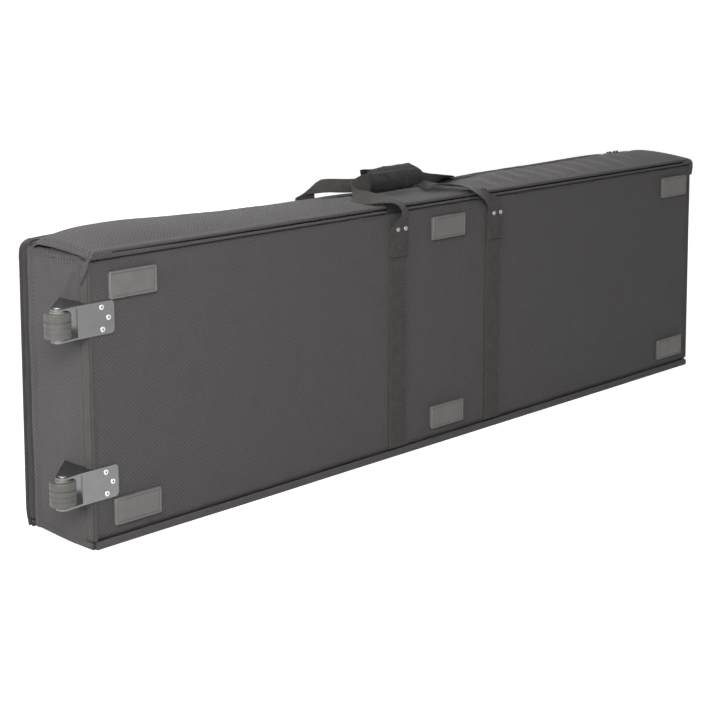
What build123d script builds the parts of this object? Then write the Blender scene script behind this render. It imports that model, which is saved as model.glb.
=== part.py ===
"""Long soft-sided carry case on two corner wheels, standing on its long narrow side.

X runs along the case with the wheels at the low end, Y from the padded floor panel to the
lid, and Z up from the base wall. The origin is the centre of the base wall's outer face.
"""
from build123d import *
import os

os.makedirs("parts", exist_ok=True)

# ---- driving sizes, mm ----
case_length = 1400.0
case_height = 393.0
case_depth = 139.0
lid_depth = 20.0             # from the zip line to the lid's outer face

cover_t = 1.5                # coated polyester with its backing
board_t = 5.0                # stiffener
foam_t = 8.0                 # lined foam
seat_gap = 0.3               # between soft pieces of two bodies
zip_half_gap = 0.5

tape_w = 10.0                # zip tape, one side
coil_w = 2.7
coil_h = 1.8
coil_part = 0.3              # from the zip line to each row of teeth

roll_proud = 3.0             # rolled binding above the floor panel
top_roll_h = 6.5
top_roll_drop = 7.5         # the floor panel's top seam below the top of the case
base_roll_h = 16.0
end_tape_w = 15.0
end_tape_t = 1.5
far_tape_w = 6.0
binding_lift = 0.3

pad_w, pad_h, pad_t = 78.0, 36.0, 5.5
pad_base_edge = 45.0         # pad centre to the case's long edges
pad_top_edge = 48.0
pad_corner_r = 2.0
pad_end_wheel = 70.0         # pad centre to the wheel end
pad_end_far = 63.0
pad_lip_r = 1.2

webbing_w = 40.0
webbing_t = 2.0
webbing_spacing = 230.0      # floor panel straps, centre to centre
rear_spacing = 317.0         # lid straps, centre to centre
strap_lap = 44.0             # loop sewn to its webbing below the rivets
strap_rivet_drop = 39.5      # rivets below the top of the case
strap_rivet_pitch = 17.0
strap_rivet_shift = 4.0
strap_rivet_r, strap_rivet_h = 4.0, 2.2
webbing_top_drop = 20.0

rivet_shank_r = 2.0
rivet_hole_r = 2.05
rivet_bulb_r, rivet_bulb_t = 3.2, 2.0
pocket_r, pocket_t = 4.0, 2.6

wheel_edge = 88.0            # wheel centre to the case's long edges
wheel_out = 46.0             # axle beyond the wheel end
wheel_in = 4.0               # axle behind the floor panel's face
wheel_r, wheel_w = 17.0, 32.0
hub_r, hub_w = 10.0, 35.0
tyre_edge_r = 1.6
grooves = [(5.5, 0.9), (-2.0, 0.4), (-8.5, 0.4)]   # height above the middle, depth
groove_w = 1.0
axle_r = 3.0
axle_fit = 0.05
axle_head_r, axle_head_h = 5.5, 1.6
washer_r, washer_t = 8.0, 1.2
washer_gap = 0.15

bracket_h = 43.0
sheet_t = 2.5
flange_in = 38.5             # floor flange past the wheel end, inward
flange_out = 20.0            # and outward
flange_corner_r = 6.0
ear_depth = 60.0
ear_boss_r = 9.0
bracket_rivets = [(18.0, 14.5), (28.8, 0.0), (19.0, -14.5)]  # from the end, from the middle
bracket_rivet_r, bracket_rivet_h = 3.75, 1.2
mandrel_r, mandrel_depth = 1.3, 1.0

grip_l, grip_w, grip_h = 125.0, 34.0, 38.0
grip_wall = 5.0
grip_corner_r = 14.0
grip_bore_r = 4.0
grip_lift = 6.5              # under the grip, above the top wall
grip_x, grip_y = -42.0, 3.5
flap_split = 8.0             # flap joint behind the grip's middle
core_clear = 0.3
core_part = 1.0              # each loop from the plane between them
core_depth = 10.7
rear_core_h = 20.0
band_w = 15.0                # loop folded lengthwise where it nears the grip
band_gap = 0.6               # loop end to grip end

slider_l, slider_w, slider_t = 20.0, 11.0, 1.5
slider_lift = 0.3
slider_corner_r = 3.0
slider_meet = 84.0           # where the two sliders meet, from the far end
slider_part = 1.0
bridge_l, bridge_w, bridge_h, bridge_bar = 12.0, 3.0, 5.0, 1.6
tab_l, tab_w, tab_t = 32.0, 8.0, 1.6
tab_pin_r = 0.8
tab_pin_clear = 0.3
tab_arm_w = 1.6
tab_neck = 8.0

# ---- levels worked out from them ----
wheel_end = -case_length / 2
far_end = case_length / 2
front_y = -case_depth / 2
back_y = case_depth / 2
zip_y = back_y - lid_depth
under_cover = cover_t
under_board = cover_t + board_t
inside = cover_t + board_t + foam_t
tray_end = zip_y - zip_half_gap
lid_start = zip_y + zip_half_gap
base_end = back_y - cover_t - seat_gap
lid_low = inside + zip_half_gap
strap_rivet_z = case_height - strap_rivet_drop
wheel_zs = {"lower": wheel_edge, "upper": case_height - wheel_edge}
axle_x = wheel_end - wheel_out
axle_y = front_y + wheel_in
grip_z = case_height + grip_lift + grip_h / 2


def slab(x, y, z):
    """A box from its three (low, high) pairs."""
    size = [high - low for low, high in (x, y, z)]
    middle = [(high + low) / 2 for low, high in (x, y, z)]
    return Pos(*middle) * Box(*size)


def rod(x, z, radius, y0, y1):
    """A round bar along Y."""
    return Pos(x, (y0 + y1) / 2, z) * Rot(90, 0, 0) * Cylinder(radius, abs(y1 - y0))


def post(x, y, radius, z0, z1):
    """A round bar along Z."""
    return Pos(x, y, (z0 + z1) / 2) * Cylinder(radius, abs(z1 - z0))


def round_rods(body, radius, axis):
    """Round a block's edges that run along one axis."""
    return fillet(body.edges().filter_by(axis), radius)


def strap_band(points, radius, plane, width):
    """Webbing of even thickness that follows a polyline drawn on a plane."""
    profile = trace(FilletPolyline(*points, radius=radius), webbing_t)
    return extrude(plane * profile, amount=width / 2, both=True)


def rivet(x, z, seat_y, out, grip, head_r, head_h):
    """A rivet with its head on seat_y, out = -1 towards the floor panel side."""
    head = rod(x, z, head_r, seat_y, seat_y + out * head_h)
    rim = head.edges().sort_by(Axis.Y)[0 if out < 0 else -1]
    head = fillet(rim, head_h * 0.8)
    tail_y = seat_y - out * grip
    return head + rod(x, z, rivet_shank_r, seat_y, tail_y) + rod(
        x, z, rivet_bulb_r, tail_y, tail_y - out * rivet_bulb_t
    )


# ---- where the rivets go: (x, z) ----
def strap_rivet_spots(spacing):
    return [
        (side * spacing / 2 + strap_rivet_shift + half * strap_rivet_pitch / 2, strap_rivet_z)
        for side in (-1, 1)
        for half in (-1, 1)
    ]


front_rivet_spots = strap_rivet_spots(webbing_spacing)
rear_rivet_spots = strap_rivet_spots(rear_spacing)
bracket_rivet_spots = [
    (wheel_end + dx, z + dz) for z in wheel_zs.values() for dx, dz in bracket_rivets
]
front_wall_spots = front_rivet_spots + bracket_rivet_spots


def drill(body, spots, radius, y0, y1):
    """Round holes along Y through a piece."""
    for x, z in spots:
        body = body - rod(x, z, radius, y0, y1)
    return body


# ---- five-sided tray: the same box of walls for the cover, the boards and the foam ----
def tray_layer(outer, inner, end_y):
    """Floor panel, top, base and both ends between two depths below the surface."""
    long_x = (wheel_end + outer, far_end - outer)
    walls = {
        "floor_panel": slab(
            long_x, (front_y + outer, front_y + inner), (outer, case_height - outer)
        ),
        "top_wall": slab(
            long_x, (front_y + inner, end_y), (case_height - inner, case_height - outer)
        ),
        "base_wall": slab(long_x, (front_y + inner, base_end), (outer, inner)),
    }
    for name, x in (("wheel_end", wheel_end), ("far_end", far_end)):
        inward = 1 if x < 0 else -1
        span = sorted((x + inward * outer, x + inward * inner))
        walls[name] = slab(span, (front_y + inner, end_y), (inner, case_height - inner))
    return walls


def make_tray():
    covers = tray_layer(0.0, under_cover, zip_y - tape_w)
    boards = tray_layer(under_cover, under_board, tray_end)
    foams = tray_layer(under_board, inside, tray_end)
    covers["floor_panel"] = drill(
        covers["floor_panel"], front_wall_spots, rivet_hole_r, front_y, front_y + under_cover
    )
    boards["floor_panel"] = drill(
        boards["floor_panel"],
        front_wall_spots,
        rivet_hole_r,
        front_y + under_cover,
        front_y + under_board,
    )
    pocket_y = front_y + under_board
    foams["floor_panel"] = drill(
        foams["floor_panel"], front_wall_spots, pocket_r, pocket_y, pocket_y + pocket_t
    )
    parts = {}
    for layer, walls in (("cover", covers), ("board", boards), ("foam", foams)):
        for wall, body in walls.items():
            parts[f"{wall}_{layer}"] = body
    return parts


# ---- zip: two stringers that run up both ends and along the top, and two sliders ----
def make_stringer(tape_y, coil_y):
    low_z = lid_low
    tape = slab((wheel_end, far_end), tape_y, (case_height - cover_t, case_height))
    coil = slab(
        (wheel_end - coil_h, far_end + coil_h), coil_y, (case_height, case_height + coil_h)
    )
    for x, out in ((wheel_end, -1), (far_end, 1)):
        tape += slab(sorted((x, x - out * cover_t)), tape_y, (low_z, case_height))
        coil += slab(sorted((x, x + out * coil_h)), coil_y, (low_z, case_height))
    return tape + coil


tray_stringer = make_stringer(
    (zip_y - tape_w, tray_end), (zip_y - coil_part - coil_w, zip_y - coil_part)
)
lid_stringer = make_stringer(
    (lid_start, zip_y + tape_w), (zip_y + coil_part, zip_y + coil_part + coil_w)
)
plate_z = case_height + coil_h + slider_lift
tab_pin_z = plate_z + slider_t + tab_pin_r + tab_pin_clear


def make_slider(x):
    """The slider's top plate with the bridge that holds its pull."""
    plate = round_rods(Box(slider_l, slider_w, slider_t), slider_corner_r, Axis.Z)
    plate = Pos(x, zip_y, plate_z + slider_t / 2) * plate
    bar_z = plate_z + slider_t + bridge_h
    across = (zip_y - bridge_w / 2, zip_y + bridge_w / 2)
    bridge = slab((x - bridge_l / 2, x + bridge_l / 2), across, (bar_z - bridge_bar, bar_z))
    for side in (-1, 1):
        foot = sorted((x + side * bridge_l / 2, x + side * (bridge_l / 2 - bridge_bar)))
        bridge += slab(foot, across, (plate_z + slider_t, bar_z - bridge_bar))
    return plate + bridge


def make_pull(x, toward):
    """A pull whose cross pin turns under the slider's bridge, lying along the zip."""
    half = bridge_w / 2 + tab_pin_clear
    level = (tab_pin_z - tab_t / 2, tab_pin_z + tab_t / 2)
    pin = rod(x, tab_pin_z, tab_pin_r, zip_y - half - tab_arm_w, zip_y + half + tab_arm_w)
    pull = pin
    for side in (-1, 1):
        arm_y = sorted((zip_y + side * half, zip_y + side * (half + tab_arm_w)))
        pull += slab(sorted((x, x + toward * (tab_neck + tab_t))), arm_y, level)
    grip = Box(tab_l - tab_neck, tab_w, tab_t)
    grip = round_rods(grip, tab_w / 3, Axis.Z)
    return pull + Pos(x + toward * (tab_neck + tab_l) / 2, zip_y, tab_pin_z) * grip


slider_mid = far_end - slider_meet
slider_xs = {
    "left": slider_mid - (slider_l + slider_part) / 2,
    "right": slider_mid + (slider_l + slider_part) / 2,
}


# ---- lid: outer panel with a shallow wall on the three zipped sides ----
def make_lid():
    board_y = (back_y - under_board, back_y - under_cover)
    foam_y = (back_y - inside, back_y - under_board)
    inner_x = (wheel_end + under_board, far_end - under_board)
    inner_z = (lid_low, case_height - under_board)
    wall_y = (lid_start, back_y - under_cover)
    cover = slab((wheel_end, far_end), (back_y - cover_t, back_y), (lid_low, case_height))
    board = slab(inner_x, board_y, inner_z)
    foam = slab(inner_x, foam_y, inner_z)
    top = slab((wheel_end, far_end), wall_y, (case_height - under_board, case_height))
    parts = {
        "lid_cover": drill(cover, rear_rivet_spots, rivet_hole_r, back_y - cover_t, back_y),
        "lid_board": drill(board, rear_rivet_spots, rivet_hole_r, *board_y),
        "lid_foam": drill(
            foam, rear_rivet_spots, pocket_r, foam_y[1] - pocket_t, foam_y[1]
        ),
        "lid_top_wall": top - lid_stringer,
        "lid_zip_stringer": lid_stringer,
        "cloth_hinge": slab(
            (wheel_end, far_end), (back_y - cover_t, back_y), (seat_gap, lid_low)
        ),
        "lid_strap_rivets": Compound(
            [
                rivet(x, z, back_y + webbing_t, 1, webbing_t + under_board,
                      strap_rivet_r, strap_rivet_h)
                for x, z in rear_rivet_spots
            ]
        ),
    }
    for name, x, inward in (("wheel_end", wheel_end, 1), ("far_end", far_end, -1)):
        span = sorted((x, x + inward * under_board))
        wall = slab(span, wall_y, (lid_low, case_height - under_board))
        parts[f"lid_{name}_wall"] = wall - lid_stringer
    return parts


# ---- bindings, pads and webbing on the floor panel ----
def make_bindings():
    top_z = case_height - top_roll_drop
    long_x = (wheel_end, far_end)
    rolls = {
        "top": slab(long_x, (front_y - roll_proud, front_y), (top_z - top_roll_h, top_z)),
        "base": slab(
            long_x, (front_y - roll_proud, front_y), (binding_lift, binding_lift + base_roll_h)
        ),
    }
    side_z = (binding_lift + base_roll_h, top_z - top_roll_h)
    tape_y = (front_y - end_tape_t, front_y)
    parts = {
        f"{name}_binding": fillet(
            roll.edges().filter_by(Axis.X).group_by(Axis.Y)[0], roll_proud * 0.6
        )
        for name, roll in rolls.items()
    }
    over_end = ((wheel_end - end_tape_t, wheel_end), (front_y, front_y + end_tape_w))
    tape = slab(*over_end, side_z)
    for z in wheel_zs.values():
        tape -= slab(*over_end, (z - bracket_h / 2, z + bracket_h / 2))
    parts["wheel_end_binding"] = tape
    parts["far_end_binding"] = slab((far_end - far_tape_w, far_end), tape_y, side_z)
    return parts


def make_pads():
    block = round_rods(Box(pad_w, pad_t, pad_h), pad_corner_r, Axis.Y)
    block = fillet(block.faces().sort_by(Axis.Y)[0].edges(), pad_lip_r)
    columns = {
        "wheel_end": wheel_end + pad_end_wheel,
        "middle": 0.0,
        "far_end": far_end - pad_end_far,
    }
    rows = {"lower": pad_base_edge, "upper": case_height - pad_top_edge}
    return {
        f"skid_pad_{column}_{row}": Pos(x, front_y - pad_t / 2, z) * block
        for column, x in columns.items()
        for row, z in rows.items()
    }


def make_webbing():
    span_y = (front_y - webbing_t, front_y)
    span_z = (binding_lift + base_roll_h, case_height - webbing_top_drop)
    parts = {}
    for name, side in (("left", -1), ("right", 1)):
        middle = side * webbing_spacing / 2
        band = slab((middle - webbing_w / 2, middle + webbing_w / 2), span_y, span_z)
        parts[f"floor_webbing_{name}"] = drill(band, front_rivet_spots, rivet_hole_r, *span_y)
    return parts


# ---- wheels at the two corners of the wheel end ----
def make_bracket(z):
    """One sheet folded round the corner, with an ear above and below the wheel."""
    low, high = z - bracket_h / 2, z + bracket_h / 2
    face_y = front_y - sheet_t
    flange = slab((wheel_end - flange_out, wheel_end + flange_in), (face_y, front_y), (low, high))
    inner_edges = flange.edges().filter_by(Axis.Y).group_by(Axis.X)[-1]
    flange = fillet(inner_edges, flange_corner_r)
    flange += slab((wheel_end - sheet_t, wheel_end), (face_y, front_y + ear_depth), (low, high))
    slope = ear_boss_r * 0.7071
    outline = [
        Line((wheel_end, face_y), (wheel_end, front_y + ear_depth)),
        Line((wheel_end, front_y + ear_depth), (axle_x - slope, axle_y + slope)),
        ThreePointArc(
            (axle_x - slope, axle_y + slope),
            (axle_x - ear_boss_r, axle_y),
            (axle_x, axle_y - ear_boss_r),
        ),
        Line((axle_x, axle_y - ear_boss_r), (wheel_end - flange_out, face_y)),
        Line((wheel_end - flange_out, face_y), (wheel_end, face_y)),
    ]
    ear = extrude(make_face(outline), amount=sheet_t)
    bracket = flange + Pos(0, 0, low) * ear + Pos(0, 0, high - sheet_t) * ear
    bracket -= post(axle_x, axle_y, axle_r + axle_fit, low, high)
    return drill(bracket, bracket_rivet_spots, rivet_hole_r, face_y, front_y)


def make_tyre(z):
    """Soft tread with rounded shoulders and its moulded grooves."""
    tread = Cylinder(wheel_r, wheel_w)
    rims = tread.edges().filter_by(GeomType.CIRCLE)
    tread = fillet(rims, tyre_edge_r) - Cylinder(hub_r, wheel_w)
    for height, depth in grooves:
        ring = Cylinder(wheel_r + 1, groove_w) - Cylinder(wheel_r - depth, groove_w)
        tread -= Pos(0, 0, height) * ring
    return Pos(axle_x, axle_y, z) * tread


def make_hub(z):
    hub = Cylinder(hub_r, hub_w) - Cylinder(axle_r + axle_fit, hub_w)
    return Pos(axle_x, axle_y, z) * hub


def make_axle(z):
    low, high = z - bracket_h / 2, z + bracket_h / 2
    axle = post(axle_x, axle_y, axle_r, low, high)
    for seat, top in ((low, low - axle_head_h), (high, high + axle_head_h)):
        head = post(axle_x, axle_y, axle_head_r, seat, top)
        rim = head.edges().sort_by(Axis.Z)[0 if top < seat else -1]
        axle += fillet(rim, axle_head_h * 0.8)
    return axle


def make_washers(z):
    rings = []
    for side in (-1, 1):
        near = z + side * (bracket_h / 2 - sheet_t - washer_gap)
        far = near - side * washer_t
        ring = post(axle_x, axle_y, washer_r, near, far)
        rings.append(ring - post(axle_x, axle_y, axle_r + axle_fit, near, far))
    return rings


def make_bracket_rivet(x, z):
    seat = front_y - sheet_t
    body = rivet(x, z, seat, -1, sheet_t + under_board, bracket_rivet_r, bracket_rivet_h)
    face = seat - bracket_rivet_h
    return body - rod(x, z, mandrel_r, face, face + mandrel_depth)


# ---- carrying handle: a loop on the tray, a loop on the lid and a wrap round both ----
band_y = {
    "tray": grip_y - core_part - band_w / 2,
    "lid": grip_y + core_part + band_w / 2,
}
band_level = {"tray": case_height + 14.0, "lid": case_height + 19.0}


grip_room = slab(
    (grip_x - grip_l / 2 - band_gap, grip_x + grip_l / 2 + band_gap),
    (grip_y - grip_w / 2 - band_gap, grip_y + grip_w / 2 + band_gap),
    (case_height, grip_z + grip_h),
)


def loop_end(side, spacing, over, key):
    """Half a loop: up from its rivets, over the edge, then turned along X to the grip."""
    middle = side * spacing / 2
    rise = Pos(middle, 0, 0) * strap_band(over, 5.0, Plane.YZ, webbing_w)
    start = middle + side * webbing_w / 2
    stop = grip_x + side * (grip_l / 2 + band_gap)
    level = band_level[key]
    run = [(start, level), (stop + side * webbing_w / 2, level), (stop, grip_z)]
    run = Pos(0, band_y[key], 0) * strap_band(run, 5.0, Plane.XZ, band_w)
    return rise + run - grip_room


def make_loops():
    lap_z = strap_rivet_z - strap_lap
    bend_z = case_height - webbing_top_drop
    sewn_y = front_y - webbing_t * 1.5
    over_front = [
        (sewn_y, lap_z),
        (sewn_y, bend_z),
        (sewn_y - 13.0, case_height - 3.0),
        (sewn_y - 3.0, band_level["tray"] - 5.0),
        (front_y + 14.0, band_level["tray"] - 5.0),
        (band_y["tray"] - band_w, band_level["tray"]),
        (band_y["tray"] + band_w / 2, band_level["tray"]),
    ]
    hung_y = back_y + webbing_t / 2
    over_back = [
        (hung_y, lap_z),
        (hung_y, bend_z),
        (hung_y + 20.0, case_height),
        (hung_y + 20.0, band_level["lid"] - 3.0),
        (hung_y, band_level["lid"]),
        (band_y["lid"] - band_w / 2, band_level["lid"]),
    ]
    parts = {}
    for name, side in (("left", -1), ("right", 1)):
        front = loop_end(side, webbing_spacing, over_front, "tray")
        rear = loop_end(side, rear_spacing, over_back, "lid")
        parts[f"tray_strap_{name}"] = drill(
            front, front_rivet_spots, rivet_hole_r, sewn_y - webbing_t, sewn_y + webbing_t
        )
        parts[f"lid_strap_{name}"] = drill(
            rear, rear_rivet_spots, rivet_hole_r, hung_y - webbing_t, hung_y + webbing_t
        )
    return parts


def make_grip():
    """Padded wrap round both loops, its rear side a flap that closes on itself."""
    section = Plane.YZ * (
        RectangleRounded(grip_w, grip_h, grip_corner_r)
        - RectangleRounded(grip_w - 2 * grip_wall, grip_h - 2 * grip_wall, grip_bore_r)
    )
    wrap = Pos(grip_x, grip_y, grip_z) * extrude(section, amount=grip_l / 2, both=True)
    split = grip_y + flap_split
    long_x = (grip_x - grip_l, grip_x + grip_l)
    core_x = (grip_x - grip_l / 2, grip_x + grip_l / 2)
    tall_z = (grip_z - grip_h, grip_z + grip_h)
    bore = (grip_h - 2 * grip_wall) / 2 - core_clear
    front_core = slab(
        core_x,
        (grip_y - core_part - core_depth, grip_y - core_part),
        (grip_z - bore, grip_z + bore),
    )
    rear_core = slab(
        core_x,
        (grip_y + core_part, grip_y + core_part + core_depth - core_clear),
        (grip_z - rear_core_h / 2, grip_z + rear_core_h / 2),
    )
    return {
        "grip_wrap": wrap & slab(long_x, (grip_y - grip_w, split), tall_z),
        "grip_flap": wrap & slab(long_x, (split + seat_gap, grip_y + grip_w), tall_z),
        "tray_loop_core": round_rods(front_core, grip_bore_r, Axis.X),
        "lid_loop_core": round_rods(rear_core, grip_bore_r, Axis.X),
    }


# ---- every piece, one file each ----
def make_parts():
    parts = make_tray() | make_lid() | make_bindings() | make_pads() | make_webbing()
    parts |= make_loops() | make_grip()
    parts["tray_zip_stringer"] = tray_stringer
    for name, z in wheel_zs.items():
        parts[f"wheel_bracket_{name}"] = make_bracket(z)
        parts[f"wheel_tyre_{name}"] = make_tyre(z)
        parts[f"wheel_hub_{name}"] = make_hub(z)
    parts["wheel_axles"] = Compound([make_axle(z) for z in wheel_zs.values()])
    parts["wheel_washers"] = Compound(
        [ring for z in wheel_zs.values() for ring in make_washers(z)]
    )
    parts["bracket_rivets"] = Compound(
        [make_bracket_rivet(x, z) for x, z in bracket_rivet_spots]
    )
    parts["tray_strap_rivets"] = Compound(
        [
            rivet(x, z, front_y - 2 * webbing_t, -1, 2 * webbing_t + under_board,
                  strap_rivet_r, strap_rivet_h)
            for x, z in front_rivet_spots
        ]
    )
    for name, x in slider_xs.items():
        parts[f"zip_slider_{name}"] = make_slider(x)
        parts[f"zip_pull_{name}"] = make_pull(x, -1 if name == "left" else 1)
    return parts


for node, body in make_parts().items():
    export_step(body, f"parts/{node}.step")
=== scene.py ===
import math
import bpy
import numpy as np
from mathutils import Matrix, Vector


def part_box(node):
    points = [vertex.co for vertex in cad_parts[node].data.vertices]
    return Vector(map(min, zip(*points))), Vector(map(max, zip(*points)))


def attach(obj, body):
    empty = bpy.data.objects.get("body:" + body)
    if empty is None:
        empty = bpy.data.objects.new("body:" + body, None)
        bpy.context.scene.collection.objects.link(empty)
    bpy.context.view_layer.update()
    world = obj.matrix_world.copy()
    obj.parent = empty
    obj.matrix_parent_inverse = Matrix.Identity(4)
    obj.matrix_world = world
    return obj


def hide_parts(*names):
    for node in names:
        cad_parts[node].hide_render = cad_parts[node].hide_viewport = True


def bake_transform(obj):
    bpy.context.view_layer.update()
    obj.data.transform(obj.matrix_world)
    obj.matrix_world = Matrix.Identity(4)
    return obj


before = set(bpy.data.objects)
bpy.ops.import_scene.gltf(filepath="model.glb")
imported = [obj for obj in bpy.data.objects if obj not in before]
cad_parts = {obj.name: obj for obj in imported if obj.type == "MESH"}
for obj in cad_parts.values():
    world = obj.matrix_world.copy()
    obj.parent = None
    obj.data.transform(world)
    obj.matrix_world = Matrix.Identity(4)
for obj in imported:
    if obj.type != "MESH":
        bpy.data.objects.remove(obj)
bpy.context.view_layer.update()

# %% [markdown]
# # A long wheeled carry case
# The case is a soft box: coated polyester sewn over stiff boards and lined foam. It stands on
# its long narrow side, two wheels sit on the corners of one end, and a padded grip wraps two
# webbing loops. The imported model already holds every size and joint, so this lesson only dresses it.
#
# Everything is written in millimetres and turned to metres in one place, because sewing is
# measured in millimetres.

MM = 0.001


def corners(node):
    """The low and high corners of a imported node's box, in mm."""
    low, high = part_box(node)
    return np.array(low) / MM, np.array(high) / MM


case_low, case_high = corners("floor_panel_cover")
wheel_end, far_end = case_low[0], case_high[0]
front_y, top_z = case_low[1], case_high[2]
back_y = corners("lid_cover")[1][1]
zip_y = (corners("tray_zip_stringer")[1][1] + corners("lid_zip_stringer")[0][1]) / 2
lid_low = corners("lid_cover")[0][2]
BODY_HEIGHT = 393                    # standing on its long narrow side
WHEEL_HEIGHTS = (88, 305)            # middle of each wheel
TRAY_STRAP, LID_STRAP = 115, 158.5   # middle of each handle strap, from the middle of the case
STRAP_HALF = 20                      # half the width of the 40 mm webbing
WALL, COVER = 6.5, 1.5               # the wall outside its foam, and the cloth alone
print("case runs", wheel_end, far_end, "zip at y", round(zip_y, 1), "top at z", top_z)

# %% [markdown]
# ## From numbers to cloth
# Sewn panels, webbing and piping are all surfaces that two numbers walk over: along and across.
# A grid of points in that order becomes quads, and the same two lengths become flat
# coordinates, as on the cutting table, so a weave keeps its true size on every panel.

# %% Surfaces
def lean(points):
    """The far end stands a little short at the top, where the soft wall leans in."""
    points = np.array(points, float)
    high = np.clip((points[..., 2] - 20) / 340, 0, 1)
    far = np.clip((points[..., 0] - 682) / 18, 0, 1)
    points[..., 0] -= 7.0 * high * far
    return points


def smooth_object(name, points, faces):
    """A smooth-shaded mesh object from points in mm."""
    mesh = bpy.data.meshes.new(name)
    mesh.from_pydata((lean(points).reshape(-1, 3) * MM).tolist(), [], faces)
    mesh.polygons.foreach_set("use_smooth", [True] * len(mesh.polygons))
    piece = bpy.data.objects.new(name, mesh)
    bpy.context.scene.collection.objects.link(piece)
    return piece


def surface(name, points, flat, closed=False, caps=False):
    """Quads through a (rows, columns, 3) array in mm. flat gives each point's cloth position in mm."""
    rows, columns = points.shape[:2]
    index = np.arange(rows * columns).reshape(rows, columns)
    beside = np.roll(index, -1, axis=1) if closed else index[:, 1:]
    here = index if closed else index[:, :-1]
    quads = np.stack([here[:-1], beside[:-1], beside[1:], here[1:]], -1).reshape(-1, 4)
    faces = quads.tolist()
    if caps:
        faces += [index[0][::-1].tolist(), index[-1].tolist()]
    piece = smooth_object(name, points, faces)
    corner = np.empty(len(piece.data.loops), int)
    piece.data.loops.foreach_get("vertex_index", corner)
    layer = piece.data.uv_layers.new(name="flat")
    layer.data.foreach_set("uv", (flat.reshape(-1, 2)[corner] * MM).ravel())
    return piece


def cloth_panel(name, points, flat, flip=False):
    """A surface from grids of x, y, z and of two cloth positions. flip turns its outside over."""
    points, flat = np.stack(points, -1), np.stack(flat, -1)
    if flip:
        points, flat = points[:, ::-1], flat[:, ::-1]
    return surface(name, points, flat)


def dress(piece, body, finish, stands_for=(), thick=0.0):
    """Gives a piece its finish, its place on a body and the CAD nodes it stands for."""
    piece.data.materials.append(finish)
    if thick:
        shell = piece.modifiers.new("thickness", "SOLIDIFY")
        shell.thickness, shell.offset = thick * MM, -1.0
    if stands_for:
        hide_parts(*stands_for)
    if body:
        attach(piece, body)
    return piece


# %% [markdown]
# ## Soft lines and soft numbers
# Webbing is steered by a few stations and a smooth line goes through them. Cloth is never quite
# even, so a sum of a few slow waves with fixed seeds gives each panel its own gentle unevenness.

# %% Paths and unevenness
def walked(line):
    """Distance along a line at each of its points."""
    return np.concatenate([[0], np.cumsum(np.linalg.norm(np.diff(line, axis=0), axis=1))])


def heading(line):
    """Unit vector along a line at each of its points."""
    ahead = np.gradient(line, axis=0)
    return ahead / np.linalg.norm(ahead, axis=1)[:, None]


def through(stations, step=3.0):
    """A smooth line through rows of numbers, evenly spaced along the first three."""
    p = np.array(stations, float)
    t = walked(p[:, :3])
    slope = np.gradient(p, t, axis=0)
    fine = np.linspace(0, t[-1], 40 * len(p))
    i = np.clip(np.searchsorted(t, fine, side="right") - 1, 0, len(t) - 2)
    h = (t[i + 1] - t[i])[:, None]
    s = (fine - t[i])[:, None] / h
    line = (p[i] * (1 + 2 * s) * (1 - s) ** 2 + slope[i] * h * s * (1 - s) ** 2
            + p[i + 1] * s ** 2 * (3 - 2 * s) + slope[i + 1] * h * s ** 2 * (s - 1))
    walk = walked(line[:, :3])
    even = np.linspace(0, walk[-1], max(int(walk[-1] / step), 4) + 1)
    return np.stack([np.interp(even, walk, line[:, k]) for k in range(p.shape[1])], 1)


def uneven(u, v, size, seed):
    """Slow waves between about -1 and 1, size mm long."""
    rng = np.random.RandomState(seed)
    total = 0
    for _ in range(6):
        turn, start = rng.uniform(0, 2 * math.pi, 2)
        pace = 2 * math.pi / (size * rng.uniform(0.6, 1.7))
        total = total + np.sin((u * math.cos(turn) + v * math.sin(turn)) * pace + start)
    return total / 4


def ease(x):
    """0 below 0, 1 above 1, and a soft ramp between."""
    x = np.clip(x, 0, 1)
    return x * x * (3 - 2 * x)


def crease(u, v, start, end, width, depth):
    """A straight soft fold from start to end that fades at both ends."""
    start, end = np.array(start, float), np.array(end, float)
    along = (end - start) / np.linalg.norm(end - start)
    du, dv = u - start[0], v - start[1]
    s = (du * along[0] + dv * along[1]) / np.linalg.norm(end - start)
    off = -du * along[1] + dv * along[0]
    return depth * np.exp(-(off / width) ** 2) * ease(s * 3) * ease((1 - s) * 3)


# %% [markdown]
# ## Finishes
# Each finish starts from the real material. Colours are sRGB hex values, turned to linear light
# by one function. One small helper adds a node with its settings and links, and the few that are
# used again and again (a sum, a noise, a mix of two dyes, a bump) are short calls of it.

# %% Finish helpers
def linear(hex_colour):
    """An sRGB hex colour as linear light."""
    parts = [int(hex_colour[i:i + 2], 16) / 255 for i in (1, 3, 5)]
    return tuple(c / 12.92 if c <= 0.04045 else ((c + 0.055) / 1.055) ** 2.4 for c in parts) + (1.0,)


def add(tree, kind, settings=None, links=None):
    """Adds a node. settings are its values and links are the outputs that feed it."""
    node = tree.nodes.new(kind)
    for key, value in (settings or {}).items():
        if isinstance(key, int) or key in node.inputs:
            node.inputs[key].default_value = value
        else:
            setattr(node, key, value)
    for key, source in (links or {}).items():
        tree.links.new(source, node.inputs[key])
    return node


def finish(name, roughness, ior=1.5, metallic=0.0, sheen=0.0, shine=0.5):
    """A new material with its fixed values, ready for its colour and grain."""
    made = bpy.data.materials.new(name)
    made.use_nodes = True
    shader = made.node_tree.nodes["Principled BSDF"]
    shader.inputs["Roughness"].default_value = roughness
    shader.inputs["IOR"].default_value = ior
    shader.inputs["Metallic"].default_value = metallic
    shader.inputs["Specular IOR Level"].default_value = shine
    shader.inputs["Sheen Weight"].default_value = sheen
    shader.inputs["Sheen Roughness"].default_value = 0.5
    return made, made.node_tree, shader


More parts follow.
